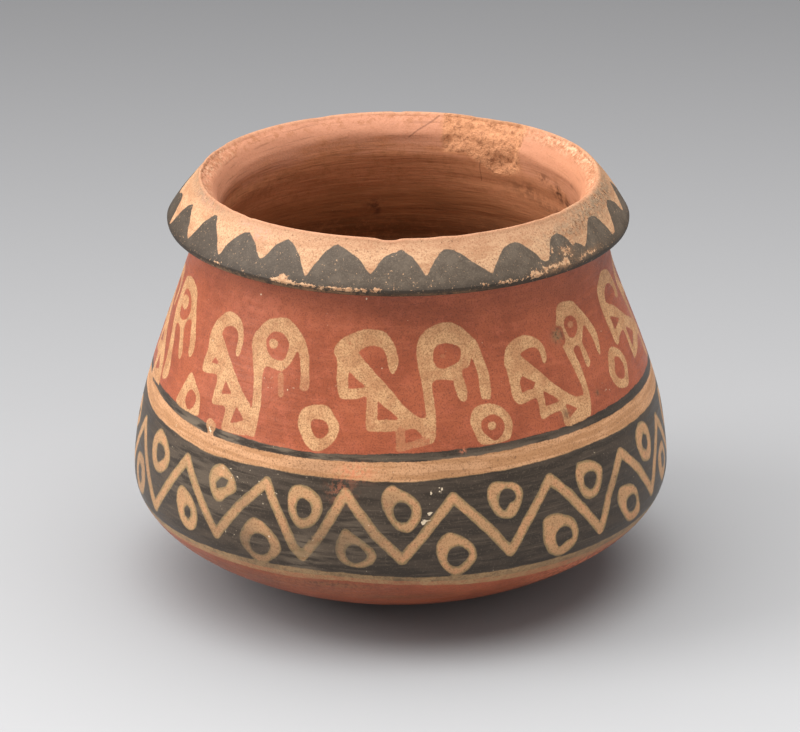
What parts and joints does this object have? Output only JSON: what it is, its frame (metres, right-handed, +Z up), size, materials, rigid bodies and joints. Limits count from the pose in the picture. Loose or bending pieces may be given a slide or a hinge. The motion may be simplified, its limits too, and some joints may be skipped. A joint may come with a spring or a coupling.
{
  "type": "miniature jar",
  "caption": "Small hand-built clay jar with a rounded bottom, a low wide belly, walls that lean in to a short neck, and a thick bevelled flange round an open mouth.",
  "frame": {"origin": "middle of the flat spot that the jar rests on, at the bottom of its bounding box", "axes": "+Z up along the body's axis, -Y is the pictured side, +X to the right of that side"},
  "size_m": [0.08, 0.08, 0.0626],
  "materials": {
    "red_slip": "burnished red slip with cream figures",
    "dark_frieze": "burnished brown-black paint with a cream zigzag and rings",
    "banded_slip": "red slip with a dark line and a cream band",
    "flange_slip": "cream slip with a dark scalloped edge, worn"
  },
  "bodies": {
    "root": {"base_bowl": "red_slip", "belly_coil": "dark_frieze", "lower_shoulder_coil": "banded_slip", "upper_shoulder_coil": "red_slip", "neck_coil": "red_slip", "rim_flange": "flange_slip"}
  },
  "joints": []
}
